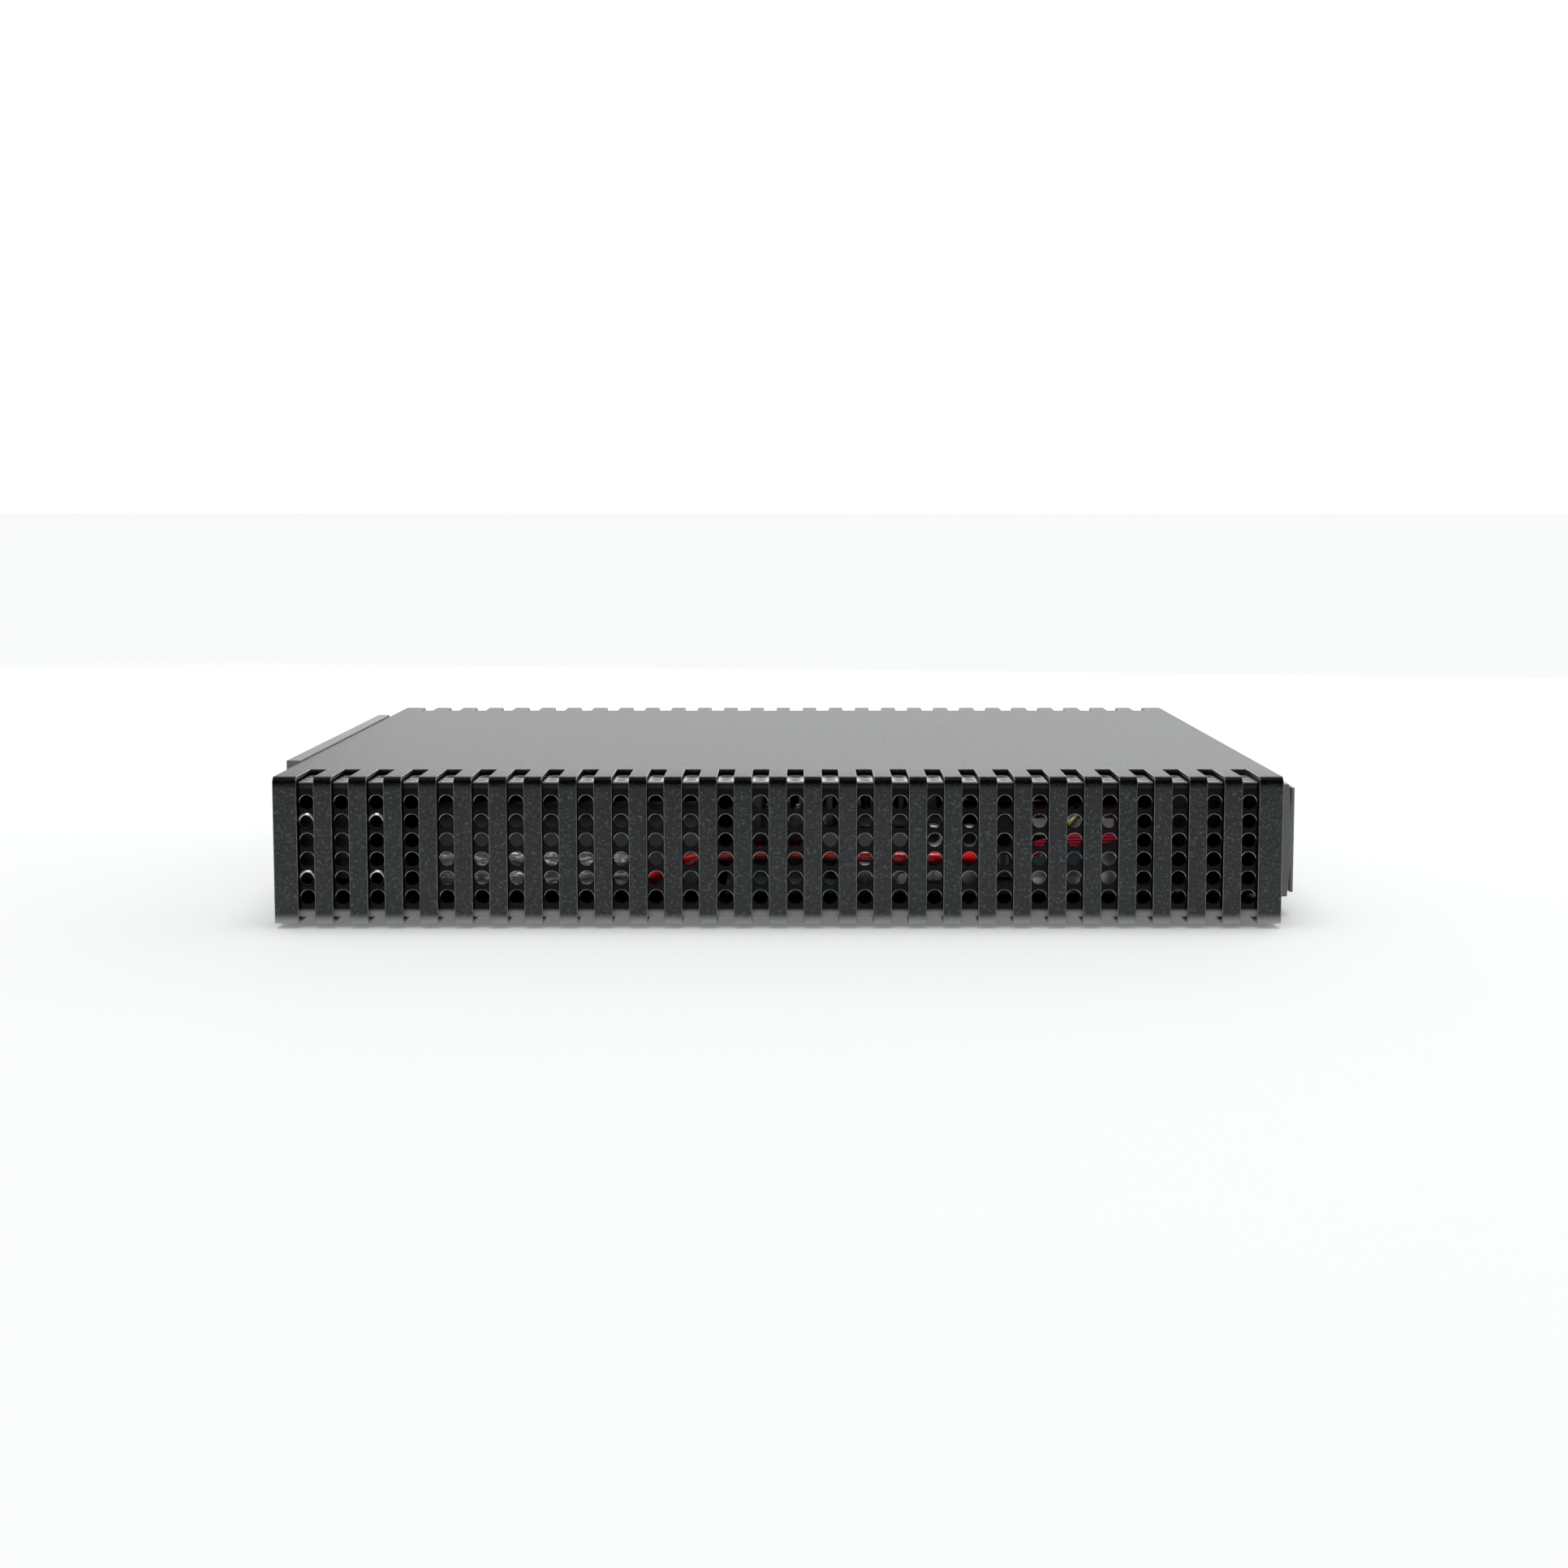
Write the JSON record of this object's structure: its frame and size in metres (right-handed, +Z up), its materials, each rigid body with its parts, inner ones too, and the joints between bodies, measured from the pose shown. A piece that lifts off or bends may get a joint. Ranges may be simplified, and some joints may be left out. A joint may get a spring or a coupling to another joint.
{
  "type": "firewall appliance",
  "caption": "Low network firewall unit in a black slotted sheet-metal sleeve over a perforated chassis, with grey end pieces, fans, board and supply inside.",
  "frame": {"origin": "centre of the footprint, on the surface that the rubber feet stand on", "axes": "+X along the long slotted sides towards the operator bezel, +Y towards the fan side, +Z up"},
  "size_m": [0.3128, 0.27, 0.0461],
  "materials": {
    "powder_coat": "fine-textured black powder coat",
    "chassis_paint": "smooth semi-gloss black paint",
    "grey_moulding": "medium grey, very fine moulded texture",
    "dark_moulding": "matt black",
    "foot_rubber": "matt black",
    "bright_steel": "bright zinc-plated steel",
    "tinned_shell": "satin plated shell",
    "anodised_fins": "clear anodised",
    "board_laminate": "blue-black solder mask on glass laminate",
    "supply_case": "satin grey sheet under a clear insulating film",
    "white_nylon": "off-white moulded nylon",
    "red_sheath": "glossy red insulation",
    "crimson_ribbon": "crimson flat-cable insulation",
    "yellow_sheath": "yellow insulation",
    "clear_acrylic": "clear moulded light guide"
  },
  "bodies": {
    "root": {"bezel_base": "grey_moulding", "bezel_face": "grey_moulding", "bottom_screw_1": "bright_steel", "bottom_screw_2": "bright_steel", "bottom_screw_3": "bright_steel", "bottom_screw_4": "bright_steel", "chassis_floor": "chassis_paint", "chassis_lid": "chassis_paint", "clinch_nut_1": "bright_steel", "clinch_nut_2": "bright_steel", "clinch_nut_3": "bright_steel", "clinch_nut_4": "bright_steel", "console_jack": "tinned_shell", "cpu_heatsink": "anodised_fins", "dc_lead": "red_sheath", "fan_frame_1": "dark_moulding", "fan_frame_2": "dark_moulding", "fan_frame_3": "dark_moulding", "foot_1": "foot_rubber", "foot_2": "foot_rubber", "foot_3": "foot_rubber", "foot_4": "foot_rubber", "front_vent_panel": "chassis_paint", "header_connector": "white_nylon", "header_wire_1": "red_sheath", "header_wire_2": "yellow_sheath", "header_wire_3": "red_sheath", "io_faceplate": "grey_moulding", "left_end_wall": "chassis_paint", "light_pipe": "clear_acrylic", "m2_drive": "board_laminate", "mains_inlet": "dark_moulding", "memory_module": "board_laminate", "memory_socket": "dark_moulding", "motherboard": "board_laminate", "outer_sleeve": "powder_coat", "power_supply": "supply_case", "power_terminal": "dark_moulding", "rear_vent_panel": "chassis_paint", "ribbon_cable": "crimson_ribbon", "right_end_wall": "chassis_paint", "riser_card": "board_laminate", "rj45_stack_1": "tinned_shell", "rj45_stack_2": "tinned_shell", "rj45_stack_3": "tinned_shell", "rj45_stack_4": "tinned_shell", "sfp_cage_1": "tinned_shell", "sfp_cage_2": "tinned_shell", "standoff_1": "bright_steel", "standoff_2": "bright_steel", "standoff_3": "bright_steel", "standoff_4": "bright_steel", "switch_housing": "dark_moulding", "usb_socket": "tinned_shell"},
    "rotor_1": {"fan_rotor_1": "dark_moulding"},
    "rotor_2": {"fan_rotor_2": "dark_moulding"},
    "rotor_3": {"fan_rotor_3": "dark_moulding"},
    "rocker": {"switch_rocker": "dark_moulding"},
    "power_button_body": {"power_button": "dark_moulding"},
    "reset_button_body": {"reset_button": "dark_moulding"}
  },
  "joints": [
    {"name": "rotor_1_spin", "type": "hinge", "parent": "root", "child": "rotor_1", "pos_m": [-0.08505, 0.1205, 0.0235], "axis": [0, 1, 0], "continuous": true},
    {"name": "rotor_2_spin", "type": "hinge", "parent": "root", "child": "rotor_2", "pos_m": [-0.00185, 0.1205, 0.0235], "axis": [0, 1, 0], "continuous": true},
    {"name": "rotor_3_spin", "type": "hinge", "parent": "root", "child": "rotor_3", "pos_m": [0.08135, 0.1205, 0.0235], "axis": [0, 1, 0], "continuous": true},
    {"name": "rocker_tip", "type": "hinge", "parent": "root", "child": "rocker", "pos_m": [-0.15255, -0.076, 0.0235], "axis": [0, 1, 0], "range_deg": [-14, 0]},
    {"name": "power_press", "type": "slide", "parent": "root", "child": "power_button_body", "axis": [-1, 0, 0], "range_m": [0, 0.0012], "stiffness_N_per_m": 300},
    {"name": "reset_press", "type": "slide", "parent": "root", "child": "reset_button_body", "axis": [-1, 0, 0], "range_m": [0, 0.0008], "stiffness_N_per_m": 200}
  ]
}
